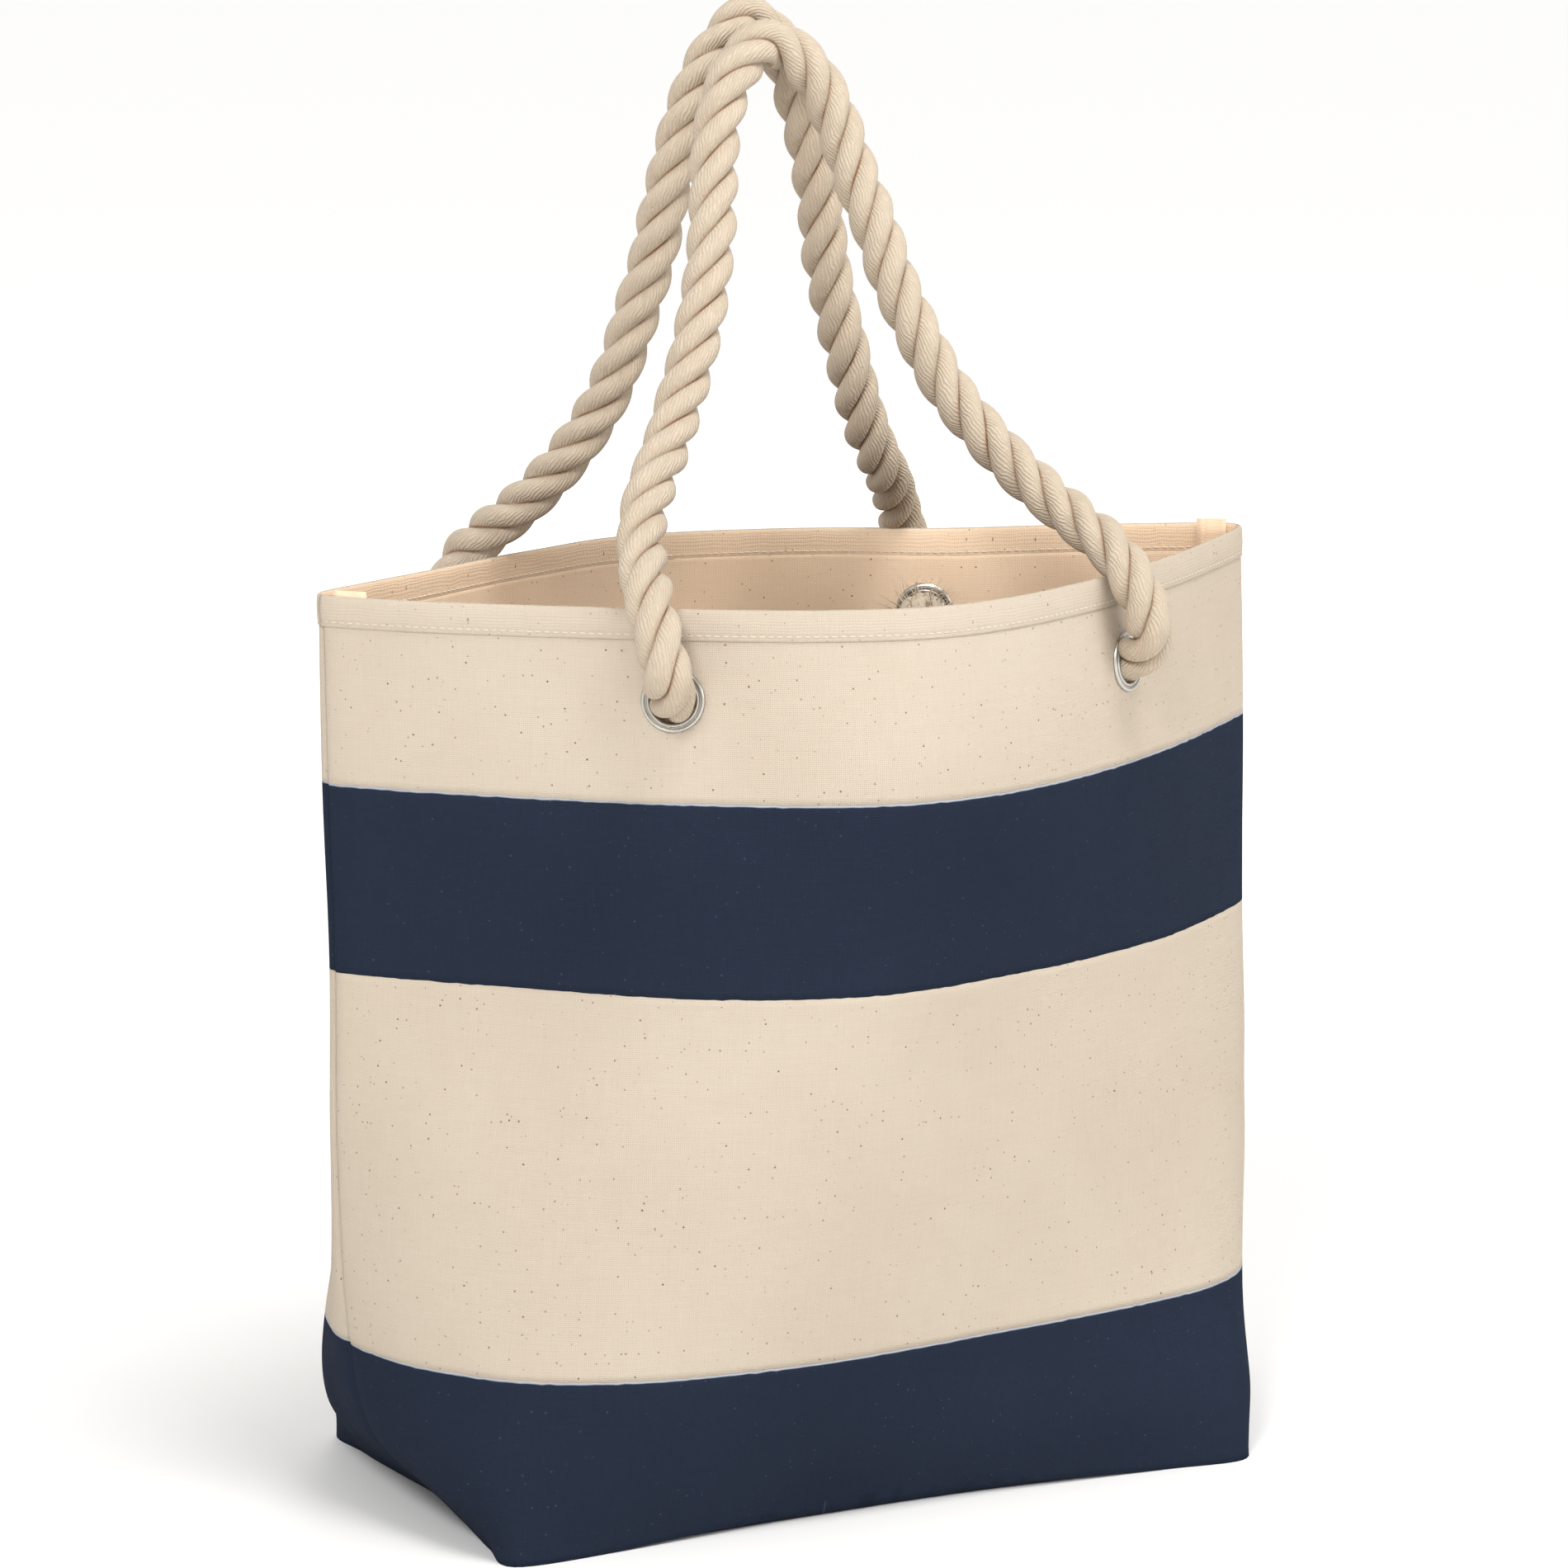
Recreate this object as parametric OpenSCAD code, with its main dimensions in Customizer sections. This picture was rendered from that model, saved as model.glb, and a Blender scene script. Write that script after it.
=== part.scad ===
// Canvas beach bag with rope handles.
// Millimetres, +Z up. Origin: centre of the floor that the bag stands on.
// The front faces -Y and the side seams run up the left and right ends.

/* [Canvas body] */
// Height of the canvas from the floor to the rim
bag_h = 380; // [320:5:480]
// Width of the standing base, left to right
base_w = 340; // [280:5:420]
// Depth of the standing base, front to back
base_d = 200; // [150:5:260]
// Width of the open mouth between the side seams
mouth_w = 424; // [340:2:520]
// Depth of the open mouth, front to back
mouth_d = 258; // [180:2:320]
// How far the panels belly out below the mouth
belly = 11; // [0:1:20]
// How far the mouth sits behind the base
lean_back = 6; // [0:1:12]
// How far the mouth sits to the right of the base
lean_right = 4; // [0:1:12]
// Thickness of the canvas
canvas_t = 1.4; // [0.8:0.1:2.4]

/* [Canvas bands] */
// Height of the navy base band
base_band_h = 71; // [50:1:100]
// Height of the natural band above the base
middle_band_h = 155; // [100:1:190]
// Height of the navy stripe
stripe_h = 78; // [50:1:100]

/* [Rim and seams] */
// Depth of the folded hem round the rim
hem_h = 12.5; // [8:0.5:20]
// Thickness of the folded hem
hem_t = 2.8; // [2:0.1:4.4]
// Distance of the stitching above the hem's lower edge
stitch_rise = 2.2; // [1.5:0.1:5]
// Diameter of the sewing thread
thread_d = 0.8; // [0.6:0.1:1.2]
// Width of the seam allowances inside
allowance_w = 17; // [8:0.5:20]
// Thickness of an overlocked seam allowance
allowance_t = 2; // [1.5:0.1:3]

/* [Eyelets] */
// Distance between the two eyelets of one panel, centre to centre
eyelet_spacing = 212; // [180:2:260]
// Depth of the eyelets' centres below the rim
eyelet_drop = 36; // [30:1:50]
// How far the front pair sits to the right of the middle
front_offset = 10; // [-15:1:15]
// How far the back pair sits to the right of the middle
back_offset = -2; // [-15:1:15]
// Diameter of the hole that the rope goes through
eyelet_bore = 18.6; // [16:0.2:24]
// Outer diameter of the eyelet's flange
eyelet_od = 26; // [24:0.5:34]
// Thickness of the rolled sheet metal
metal_t = 0.8; // [0.6:0.1:1.2]
// Height of the flange's rounded roll
flange_h = 1.8; // [1.2:0.1:2.6]

/* [Rope] */
// Diameter of the twisted rope
rope_d = 20; // [16:0.5:22]
// Diameter of the stopper knot
knot_d = 40; // [34:1:46]
// Length of the frayed end below the knot
fray_l = 34; // [20:1:60]

/* [Hidden] */

navy = "#2f3646";
natural = "#e8dccb";
rope_colour = "#e6d8c2";
nickel = "#c9c7c2";
gap = 0.1;
slip = 0.5;
// Room that the flat facets of two curved sheets need between them
sheet_gap = 1.3;

// Heights of the lines where one band meets the next
z_base = base_band_h;
z_stripe = z_base + middle_band_h;
z_top = z_stripe + stripe_h;
z_hem = bag_h - hem_h;
z_eyelet = bag_h - eyelet_drop;

// Angle ranges of the two panels round the body, seam to seam
front = [180, 360];
back = [0, 180];
panel_cols = 36;

// How the plan shape changes with height: a near rectangle at the floor, a
// slender lozenge with softened corners at the mouth
flare_h = 57;
belly_rise = 1.25;
mouth_power = 1.1;
side_power = 0.55;
foot_power = 8.5;
foot_h = 35;
soften = 0.08;

// The height and the spacing of the eyelets that the handles' routes are drawn for
route_eyelet_z = 344;
route_spacing = 212;
// The handles' routes, from the bend at the left eyelet over the crown to the
// bend at the right eyelet
front_route = [
  [-104, -103, 345], [-108, -107, 356], [-111, -106, 368], [-111, -98, 380],
  [-108, -86, 391], [-103, -73, 401], [-96, -61, 413], [-87, -51, 427],
  [-76, -41, 441], [-66, -32, 458], [-57, -26, 478], [-49, -19, 500],
  [-43, -12, 522], [-38, -3, 543], [-33, 4, 564], [-25, 8, 583],
  [-15, 11, 594], [-6, 12, 598], [4, 11, 594], [14, 8, 583],
  [22, 4, 564], [27, -3, 543], [32, -12, 522], [37, -19, 500],
  [45, -26, 478], [54, -32, 458], [65, -40, 441], [76, -47, 427],
  [87, -57, 414], [97, -70, 403], [106, -84, 393], [113, -94, 380],
  [119, -98, 368], [123, -96, 356], [124, -90, 345]
];
back_route = [
  [-115, 95, 345], [-116, 100, 356], [-113, 103, 368], [-108, 99, 380],
  [-101, 88, 391], [-92, 77, 402], [-83, 68, 414], [-74, 60, 428],
  [-65, 53, 445], [-58, 47, 465], [-52, 44, 486], [-46, 41, 508],
  [-42, 38, 530], [-37, 36, 552], [-31, 35, 572], [-24, 34, 588],
  [-15, 33, 600], [-6, 33, 607], [4, 33, 601], [13, 34, 588],
  [19, 35, 572], [25, 36, 552], [30, 38, 530], [34, 41, 508],
  [40, 44, 486], [47, 47, 465], [55, 53, 445], [64, 60, 428],
  [74, 68, 414], [84, 79, 404], [93, 91, 393], [102, 102, 380],
  [108, 105, 368], [111, 101, 356], [111, 97, 345]
];
rope_sides = 12;
rings_per_step = 2;

// Where the knots hang inside, measured from the eyelets
throat_in = 12;
knot_in = 30;
knot_down = 16;

// ---------------------------------------------------------------- body shape

function half_w(z) = base_w / 2 + (mouth_w - base_w) / 2 * (1 - exp(-z / flare_h));

function half_d(z) =
  base_d / 2 + (mouth_d - base_d) / 2 * z / bag_h
  + belly * sin(180 * pow(min(z / bag_h, 1), belly_rise));

function power(z) =
  mouth_power + side_power * (1 - z / bag_h)
  + (foot_power - mouth_power - side_power) * exp(-z / foot_h);

function softened(v) = sqrt(v * v + soften * soften);

// Superellipse radius, as a share of the half axes, at one angle
function reach(a, p) =
  pow(pow(softened(1), p) + pow(soften, p), 1 / p)
  / pow(pow(softened(cos(a)), p) + pow(softened(sin(a)), p), 1 / p);

function centre(z) = -(1 - z / bag_h) * [lean_right, lean_back];

function outline(a, z) =
  centre(z) + reach(a, power(z)) * [half_w(z) * cos(a), half_d(z) * sin(a)];

function along(a, z) = outline(a + 0.4, z) - outline(a - 0.4, z);

function outward(a, z) = let (t = along(a, z)) [t.y, -t.x] / norm(t);

// A point on the canvas, moved outwards from the outer face
function wall(a, z, off) = let (p = outline(a, z) + off * outward(a, z)) [p.x, p.y, z];

// Outward direction that also follows the panel's lean
function normal(a, z) =
  let (t = along(a, z), v = wall(a, z + 1, 0) - wall(a, z - 1, 0))
  let (n = cross([t.x, t.y, 0], v)) n / norm(n);

// Angle at which one panel's outline passes a given x
function angle_at_x(x, z, lo, hi, n = 24) =
  let (mid = (lo + hi) / 2)
  n == 0 ? mid
  : (outline(mid, z).x < x) == (outline(lo, z).x < x)
    ? angle_at_x(x, z, mid, hi, n - 1)
    : angle_at_x(x, z, lo, mid, n - 1);

// Angle at which the outline is a given chord away from the side seam
function angle_from_seam(seam, chord, z, lo = 0, hi = 40, n = 24) =
  let (mid = (lo + hi) / 2)
  n == 0 ? seam + mid
  : norm(outline(seam + mid, z) - outline(seam, z)) < chord
    ? angle_from_seam(seam, chord, z, mid, hi, n - 1)
    : angle_from_seam(seam, chord, z, lo, mid, n - 1);

// ---------------------------------------------------------------- sheet solids

// Closed solid between two grids of points with the same rows and columns.
// outer[r][c] faces outwards when columns run anticlockwise and rows run up.
module sheet(outer, inner) {
  rows = len(outer);
  cols = len(outer[0]);
  n = rows * cols;
  points = concat([for (r = outer) each r], [for (r = inner) each r]);
  function at(r, c) = r * cols + c;
  faces = concat(
    [for (r = [0:rows - 2]) for (c = [0:cols - 2]) each [
      [at(r, c), at(r + 1, c), at(r + 1, c + 1)],
      [at(r, c), at(r + 1, c + 1), at(r, c + 1)],
      [n + at(r, c), n + at(r + 1, c + 1), n + at(r + 1, c)],
      [n + at(r, c), n + at(r, c + 1), n + at(r + 1, c + 1)]
    ]],
    [for (c = [0:cols - 2]) each [
      [at(0, c), at(0, c + 1), n + at(0, c + 1)],
      [at(0, c), n + at(0, c + 1), n + at(0, c)],
      [at(rows - 1, c), n + at(rows - 1, c + 1), at(rows - 1, c + 1)],
      [at(rows - 1, c), n + at(rows - 1, c), n + at(rows - 1, c + 1)]
    ]],
    [for (r = [0:rows - 2]) each [
      [at(r, 0), n + at(r + 1, 0), at(r + 1, 0)],
      [at(r, 0), n + at(r, 0), n + at(r + 1, 0)],
      [at(r, cols - 1), at(r + 1, cols - 1), n + at(r + 1, cols - 1)],
      [at(r, cols - 1), n + at(r + 1, cols - 1), n + at(r, cols - 1)]
    ]]
  );
  polyhedron(points = points, faces = faces, convexity = 6);
}

function heights(z0, z1, rows) = [for (i = [0:rows]) z0 + (z1 - z0) * i / rows];

function panel_grid(side, zs, off) =
  [for (z = zs) [for (i = [0:panel_cols])
    wall(side[0] + (side[1] - side[0]) * i / panel_cols, z, off)]];

module band(side, z0, z1, rows, out = 0, thick = canvas_t) {
  zs = heights(z0, z1, rows);
  sheet(panel_grid(side, zs, out), panel_grid(side, zs, out - thick));
}

// Closed solid of revolution-like loops, with a pole at each end
module capped_loops(first, loops, last) {
  m = len(loops[0]);
  n = len(loops);
  points = concat([first], [for (l = loops) each l], [last]);
  function at(k, i) = 1 + k * m + i % m;
  faces = concat(
    [for (i = [0:m - 1]) [0, at(0, i), at(0, i + 1)]],
    [for (k = [0:n - 2]) for (i = [0:m - 1]) each [
      [at(k, i), at(k + 1, i), at(k + 1, i + 1)],
      [at(k, i), at(k + 1, i + 1), at(k, i + 1)]
    ]],
    [for (i = [0:m - 1]) [n * m + 1, at(n - 1, i + 1), at(n - 1, i)]]
  );
  polyhedron(points = points, faces = faces, convexity = 6);
}

// ---------------------------------------------------------------- canvas

module base_canvas() color(navy) {
  steps = [0, 4, 12, 26, 48, z_base];
  ring = function (z, off) [for (i = [0:2 * panel_cols - 1]) wall(i * 180 / panel_cols, z, off)];
  inside = concat([canvas_t], [for (i = [1:len(steps) - 1]) steps[i]]);
  capped_loops(
    [centre(0).x, centre(0).y, 0],
    concat([for (z = steps) ring(z, 0)],
           [for (i = [len(inside) - 1:-1:0]) ring(inside[i], -canvas_t)]),
    [centre(0).x, centre(0).y, canvas_t]
  );
}

module middle_band(side) color(natural) band(side, z_base, z_stripe, 6);

module stripe(side) color(navy) band(side, z_stripe, z_top, 4);

module top_band(side, ends) color(natural) difference() {
  band(side, z_top, z_hem, 4);
  for (a = ends) at_eyelet(a) eyelet_seat();
}

module rim_hem(side) color(natural)
  band(side, z_hem, bag_h, 2, out = (hem_t - canvas_t) / 2, thick = hem_t);

// The two panels' raw edges, overlocked together and pressed to one side
module side_seam(seam) color(natural) {
  z0 = canvas_t + 2;
  z1 = z_hem - gap;
  zs = heights(z0, z1, 14);
  cols = 3;
  fold = 5 * canvas_t;
  rim_in = -canvas_t - sheet_gap;
  row = function (z, off)
    let (a0 = angle_from_seam(seam, fold, z), a1 = angle_from_seam(seam, fold + allowance_w, z))
    [for (i = [0:cols]) wall(a0 + (a1 - a0) * i / cols, z, off)];
  sheet([for (z = zs) row(z, rim_in)], [for (z = zs) row(z, rim_in - allowance_t)]);
}

// Seam across the end of the base, its allowance lying on the floor inside
module base_seam(side) color(navy)
  translate([centre(0).x + side * (base_w / 2 - 5 * canvas_t - allowance_w / 2 - allowance_t),
             centre(0).y, canvas_t + gap + allowance_t / 2])
    cube([allowance_w, base_d - 4 * allowance_w, allowance_t], center = true);

module hem_stitching(side) color("white") {
  z = z_hem + stitch_rise;
  off = (hem_t - canvas_t) / 2 + 2 * gap + thread_d / 2;
  line = [for (i = [1:panel_cols - 1])
    wall(side[0] + (side[1] - side[0]) * i / panel_cols, z, off)];
  tube(line, repeated(thread_d / 2, len(line)), 8);
}

// ---------------------------------------------------------------- eyelets

// Angles of a panel's left and right eyelets
function eyelets(side, offset) =
  [for (x = [offset - eyelet_spacing / 2, offset + eyelet_spacing / 2])
    angle_at_x(x, z_eyelet, side[0], side[1])];

front_eyelets = eyelets(front, front_offset);
back_eyelets = eyelets(back, back_offset);

// Local Z points out of the canvas, z = 0 is the canvas's outer face
module at_eyelet(a) {
  n = normal(a, z_eyelet);
  translate(wall(a, z_eyelet, 0))
    rotate([0, acos(n.z), atan2(n.y, n.x)])
      children();
}

barrel_r = eyelet_bore / 2 + metal_t;

// The canvas is punched, and clamped flat under both flanges
module eyelet_seat() {
  deep = 8;
  clamp_r = eyelet_od / 2 + 0.6;
  clamp_t = canvas_t * 0.7;
  translate([0, 0, -deep]) cylinder(h = 2 * deep, r = barrel_r + gap, $fn = 48);
  translate([0, 0, -canvas_t / 2 + clamp_t / 2]) cylinder(h = deep, r = clamp_r, $fn = 64);
  translate([0, 0, -canvas_t / 2 - clamp_t / 2 - deep]) cylinder(h = deep, r = clamp_r, $fn = 64);
}

// Flange with a rounded face and the barrel that goes through the canvas
module eyelet(a) color(nickel) at_eyelet(a) {
  seat = -canvas_t * 0.15 + gap / 2;
  foot = -canvas_t - flange_h;
  mid = (barrel_r - metal_t + eyelet_od / 2) / 2;
  width = eyelet_od / 2 - barrel_r + metal_t;
  rotate_extrude($fn = 96) union() {
    translate([barrel_r - metal_t, foot]) square([metal_t, seat - foot + gap]);
    intersection() {
      translate([mid, seat]) circle(d = width, $fn = 40);
      translate([mid - width / 2, seat]) square([width, flange_h]);
    }
  }
}

// Ring inside, which the barrel's end is rolled over
module washer(a) color(nickel) at_eyelet(a) {
  seat = -canvas_t * 0.85 - gap / 2;
  inner_r = barrel_r + gap / 2;
  width = eyelet_od / 2 - inner_r;
  rotate_extrude($fn = 96) intersection() {
    translate([inner_r + width / 2, seat]) circle(d = width, $fn = 40);
    translate([inner_r, seat - flange_h]) square([width, flange_h]);
  }
}

// ---------------------------------------------------------------- rope

function unit(v) = v / norm(v);

function direction(path, i) =
  unit(path[min(i + 1, len(path) - 1)] - path[max(i - 1, 0)]);

function lerp3(a, b, u) = a + (b - a) * u;

// Catmull-Rom point between path[i] and path[i + 1]
function spline(path, i, u) =
  let (p0 = path[max(i - 1, 0)], p1 = path[i])
  let (p2 = path[i + 1], p3 = path[min(i + 2, len(path) - 1)])
  0.5 * (2 * p1 + (p2 - p0) * u + (2 * p0 - 5 * p1 + 4 * p2 - p3) * u * u
         + (3 * p1 - p0 - 3 * p2 + p3) * u * u * u);

function smooth(path, k) = concat(
  [for (i = [0:len(path) - 2]) for (j = [0:k - 1]) spline(path, i, j / k)],
  [path[len(path) - 1]]
);

// Round tube swept along a path, with its own radius at each point. The path
// never runs straight front to back.
module tube(path, radii, sides) {
  ring = function (i)
    let (t = direction(path, i), u = unit(cross([0, 1, 0.001], t)), v = cross(t, u))
    [for (k = [0:sides - 1])
      path[i] + radii[i] * (cos(360 * k / sides) * u + sin(360 * k / sides) * v)];
  capped_loops(path[0], [for (i = [0:len(path) - 1]) ring(i)], path[len(path) - 1]);
}

function repeated(value, count) = [for (i = [1:count]) value];

// A route moved with the eyelets
function hung(route) =
  [for (p = route) [p.x * eyelet_spacing / route_spacing, p.y, p.z + z_eyelet - route_eyelet_z]];
function right_bend(route) = hung(route)[len(route) - 1];

// The rope between its two eyelets, with a round end centred on each bend
module handle_rope(route) color(rope_colour) {
  r = rope_d / 2;
  path = smooth(route, rings_per_step);
  last = len(path) - 1;
  angles = [15:15:75];
  start = [for (a = angles) path[0] - r * cos(a) * direction(path, 0)];
  end = [for (a = angles) path[last] + r * sin(a) * direction(path, last)];
  tube(concat(start, path, end),
       concat([for (a = angles) r * sin(a)], repeated(r, last + 1), [for (a = angles) r * cos(a)]),
       rope_sides);
}

// The rope's end: squeezed through the eyelet, knotted inside, left to fray
module knot(a, bend) color(rope_colour) {
  throat_r = eyelet_bore / 2 - gap;
  knot_r = knot_d / 2;
  tail_r = rope_d / 2;
  n = normal(a, z_eyelet);
  down = [0, 0, -1];
  eye = wall(a, z_eyelet, 0);
  outer_l = norm(bend - eye) - rope_d / 2 - slip;
  middle = eye - knot_in * n + knot_down * down;
  slope = unit(knot_down * down - (knot_in - throat_in / 2) * n);
  open_angle = asin(throat_r / knot_r);
  bulge = heights(open_angle, 180 - open_angle, 8);
  path = concat(
    [eye + outer_l * n, eye, eye - throat_in / 2 * n, eye - throat_in * n + 1.5 * down],
    [for (b = bulge) middle - knot_r * cos(b) * slope],
    [middle + (knot_r + 4) * slope + 4 * down,
     middle + (knot_r + 6) * slope + (fray_l / 2 + 4) * down,
     middle + (knot_r + 6) * slope + (fray_l + 4) * down]
  );
  radii = concat(repeated(throat_r, 4), [for (b = bulge) knot_r * sin(b)],
                 [tail_r * 0.95, tail_r, tail_r * 1.15]);
  tube(path, radii, 16);
}

// ---------------------------------------------------------------- nodes

base_canvas();
middle_band(front);  // front_middle_band
stripe(front);  // front_stripe
top_band(front, front_eyelets);  // front_top_band
rim_hem(front);  // front_rim_hem
middle_band(back);  // back_middle_band
stripe(back);  // back_stripe
top_band(back, back_eyelets);  // back_top_band
rim_hem(back);  // back_rim_hem
side_seam(180);  // left_side_seam
side_seam(0);  // right_side_seam
base_seam(-1);  // left_base_seam
base_seam(1);  // right_base_seam
hem_stitching(front);  // front_hem_stitching
hem_stitching(back);  // back_hem_stitching
eyelet(front_eyelets[0]);  // front_left_eyelet
eyelet(front_eyelets[1]);  // front_right_eyelet
eyelet(back_eyelets[0]);  // back_left_eyelet
eyelet(back_eyelets[1]);  // back_right_eyelet
washer(front_eyelets[0]);  // front_left_washer
washer(front_eyelets[1]);  // front_right_washer
washer(back_eyelets[0]);  // back_left_washer
washer(back_eyelets[1]);  // back_right_washer
knot(front_eyelets[0], hung(front_route)[0]);  // front_left_knot
knot(front_eyelets[1], right_bend(front_route));  // front_right_knot
knot(back_eyelets[0], hung(back_route)[0]);  // back_left_knot
knot(back_eyelets[1], right_bend(back_route));  // back_right_knot
handle_rope(hung(front_route));  // front_handle_rope
handle_rope(hung(back_route));  // back_handle_rope
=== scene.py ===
import math
import random

import bmesh
import bpy
from mathutils import Matrix, Vector, noise


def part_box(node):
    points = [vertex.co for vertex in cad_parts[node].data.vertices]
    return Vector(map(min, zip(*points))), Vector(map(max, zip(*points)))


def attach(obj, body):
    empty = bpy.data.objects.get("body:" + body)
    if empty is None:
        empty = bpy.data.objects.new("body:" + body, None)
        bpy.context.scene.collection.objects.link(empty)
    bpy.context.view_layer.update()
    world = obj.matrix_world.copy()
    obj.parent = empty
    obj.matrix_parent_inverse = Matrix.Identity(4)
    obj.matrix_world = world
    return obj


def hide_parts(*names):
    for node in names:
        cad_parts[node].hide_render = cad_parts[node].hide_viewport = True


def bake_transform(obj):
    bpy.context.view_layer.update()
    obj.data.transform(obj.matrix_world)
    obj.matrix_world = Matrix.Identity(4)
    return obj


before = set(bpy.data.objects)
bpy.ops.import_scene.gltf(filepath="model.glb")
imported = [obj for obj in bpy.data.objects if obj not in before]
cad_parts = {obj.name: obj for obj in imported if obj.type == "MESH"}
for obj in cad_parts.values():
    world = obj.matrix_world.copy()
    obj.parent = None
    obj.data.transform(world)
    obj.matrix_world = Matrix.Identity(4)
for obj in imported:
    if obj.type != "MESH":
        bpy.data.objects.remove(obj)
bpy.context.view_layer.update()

# ------------------------------------------------------------------ the frame
# Lengths are written in millimetres and scaled by MM into metres.

MM = 0.001

# --------------------------------------------------------------------- camera
# A long lens from a little above, to the left of the front panel, so that the
# front, the left seam and the inside of the mouth's back all show.

camera = bpy.data.objects.new("camera", bpy.data.cameras.new("camera"))
bpy.context.scene.collection.objects.link(camera)
bpy.context.scene.camera = camera
camera_side = math.radians(25.4)
camera_dip = math.radians(10.2)
camera_distance = 2.306
camera.location = (-math.sin(camera_side) * camera_distance - 6 * MM,
                   -math.cos(camera_side) * camera_distance - 3 * MM, 0.704)
camera.rotation_euler = (math.pi / 2 - camera_dip, 0, -camera_side)
camera.data.sensor_width = 36
camera.data.lens = 127.9


def colour(hex_code):
    """Linear colour of an sRGB hex value."""
    parts = [int(hex_code[i:i + 2], 16) / 255 for i in (1, 3, 5)]
    return [c / 12.92 if c <= 0.04045 else ((c + 0.055) / 1.055) ** 2.4 for c in parts] + [1]


def add(tree, kind, sockets=None, **settings):
    """Adds a node with its settings, its socket values and its links."""
    node = tree.nodes.new("ShaderNode" + kind)
    for name, value in settings.items():
        setattr(node, name, value)
    for socket, value in (sockets or {}).items():
        if isinstance(value, bpy.types.NodeSocket):
            tree.links.new(value, node.inputs[socket])
        else:
            node.inputs[socket].default_value = value
    return node


def maths(tree, operation, a, b=0.0, clamp=False):
    return add(tree, "Math", {0: a, 1: b}, operation=operation, use_clamp=clamp).outputs[0]


def new_material(name):
    material = bpy.data.materials.new(name)
    material.use_nodes = True
    tree = material.node_tree
    tree.nodes.clear()
    shader = add(tree, "BsdfPrincipled")
    output = add(tree, "OutputMaterial", {"Surface": shader.outputs[0]})
    return material, tree, shader, output


def new_piece(name, shape, materials, body, nodes=()):
    """Makes a finished piece of a bmesh. It rides on its body and hides the CAD parts that it stands for."""
    mesh = bpy.data.meshes.new(name)
    shape.to_mesh(mesh)
    shape.free()
    for material in materials:
        mesh.materials.append(material)
    piece = bpy.data.objects.new(name, mesh)
    bpy.context.scene.collection.objects.link(piece)
    if body:
        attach(piece, body)
    if nodes:
        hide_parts(*nodes)
    return piece


def smooth_shaded(shape):
    for face in shape.faces:
        face.smooth = True


# --------------------------------------------------------------- handle ropes
# Three-strand twisted cotton, 20 mm thick, right-hand lay. Each strand is a
# soft bundle of yarns. One length goes out through the left eyelet, over the
# crown, and back in through the right eyelet.

ROPE_D = 20 * MM
LAY = 52 * MM
RING_STEP = 1.5 * MM
RING_SIDES = 60
STRANDS = 3

front_route = [
    (-103, -102, 345), (-106, -106, 356), (-108, -105, 368), (-108, -97, 380),
    (-106, -86, 391), (-102, -73, 401), (-96, -61, 413), (-87, -51, 427),
    (-76, -41, 441), (-66, -32, 458), (-57, -26, 478), (-49, -19, 500),
    (-43, -12, 522), (-38, -3, 543), (-33, 4, 564), (-25, 8, 583),
    (-15, 11, 594), (-6, 12, 598), (4, 11, 594), (14, 8, 583),
    (22, 4, 564), (27, -3, 543), (32, -12, 522), (37, -19, 500),
    (45, -26, 478), (54, -32, 458), (65, -40, 441), (76, -47, 427),
    (87, -57, 414), (97, -69, 403), (105, -82, 393), (111, -92, 380),
    (115, -96, 368), (118, -95, 356), (120, -89, 345)]
back_route = [
    (-115, 95, 345), (-116, 100, 356), (-113, 103, 368), (-108, 99, 380),
    (-101, 88, 391), (-92, 77, 402), (-83, 68, 414), (-74, 60, 428),
    (-65, 53, 445), (-58, 47, 465), (-52, 44, 486), (-46, 41, 508),
    (-42, 38, 530), (-37, 36, 552), (-31, 35, 572), (-24, 34, 588),
    (-15, 33, 600), (-6, 33, 607), (4, 33, 601), (13, 34, 588),
    (19, 35, 572), (25, 36, 552), (30, 38, 530), (34, 41, 508),
    (40, 44, 486), (47, 47, 465), (55, 53, 445), (64, 60, 428),
    (74, 68, 414), (84, 79, 404), (93, 91, 393), (102, 102, 380),
    (108, 105, 368), (111, 101, 356), (111, 97, 345)]


def between(a, b, c, d, t):
    """Catmull-Rom point between b and c."""
    return 0.5 * (2 * b + (c - a) * t + (2 * a - 5 * b + 4 * c - d) * t * t
                  + (3 * b - a - 3 * c + d) * t ** 3)


def eased(points, per_step=12, closed=False):
    """Smooth curve through the points."""
    n = len(points)
    line = []
    for i in range(n if closed else n - 1):
        a, b, c, d = (points[(i + k) % n] if closed else points[min(max(i + k, 0), n - 1)]
                      for k in (-1, 0, 1, 2))
        line += [between(a, b, c, d, k / per_step) for k in range(per_step)]
    return line if closed else line + [points[-1]]


def evenly(line, step=None, count=None):
    """The same line, as points an even distance apart."""
    marks = [0.0]
    for a, b in zip(line, line[1:]):
        marks.append(marks[-1] + (b - a).length)
    count = count or max(2, round(marks[-1] / step))
    points, i = [], 0
    for k in range(count + 1):
        at = marks[-1] * k / count
        while i < len(line) - 2 and marks[i + 1] < at:
            i += 1
        span = marks[i + 1] - marks[i]
        points.append(line[i].lerp(line[i + 1], (at - marks[i]) / span if span else 0))
    return points, marks[-1]


def strand_radius(angle):
    """The section's outline: three soft strands, pressed together."""
    local = (angle + math.pi / STRANDS) % (2 * math.pi / STRANDS) - math.pi / STRANDS
    middle, half, wide = 0.51, 0.49, 0.56
    c, s = math.cos(local), math.sin(local)
    a = (c / half) ** 2 + (s / wide) ** 2
    b = -2 * middle * c / half ** 2
    k = (middle / half) ** 2 - 1
    return (-b + math.sqrt(max(b * b - 4 * a * k, 0))) / (2 * a)


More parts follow.
